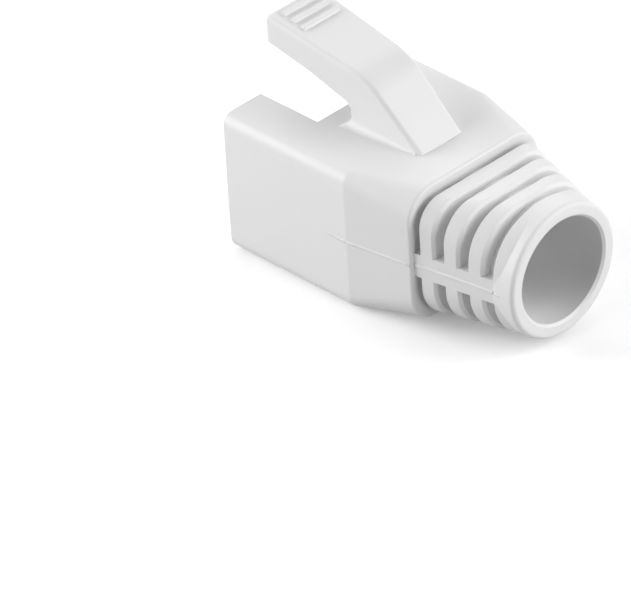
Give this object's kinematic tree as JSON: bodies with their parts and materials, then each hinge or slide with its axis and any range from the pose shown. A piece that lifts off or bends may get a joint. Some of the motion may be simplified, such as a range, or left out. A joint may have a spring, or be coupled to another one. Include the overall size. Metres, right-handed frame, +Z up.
{
  "type": "rj45 strain relief boot",
  "caption": "Moulded strain relief boot for an RJ45 modular plug: box-shaped housing, springy latch guard lever, slotted flexible neck and round cable collar.",
  "frame": {"origin": "middle of the bounding box's footprint, on the plane of the flat underside", "axes": "+X from the plug mouth to the cable end, along the cable; +Z up, from the underside to the latch guard lever; XZ is the plane of symmetry"},
  "size_m": [0.0262, 0.0146, 0.0176],
  "materials": {
    "moulding": "soft moulded plastic, white, fine satin surface"
  },
  "bodies": {
    "root": {"boot": "moulding"}
  },
  "joints": []
}
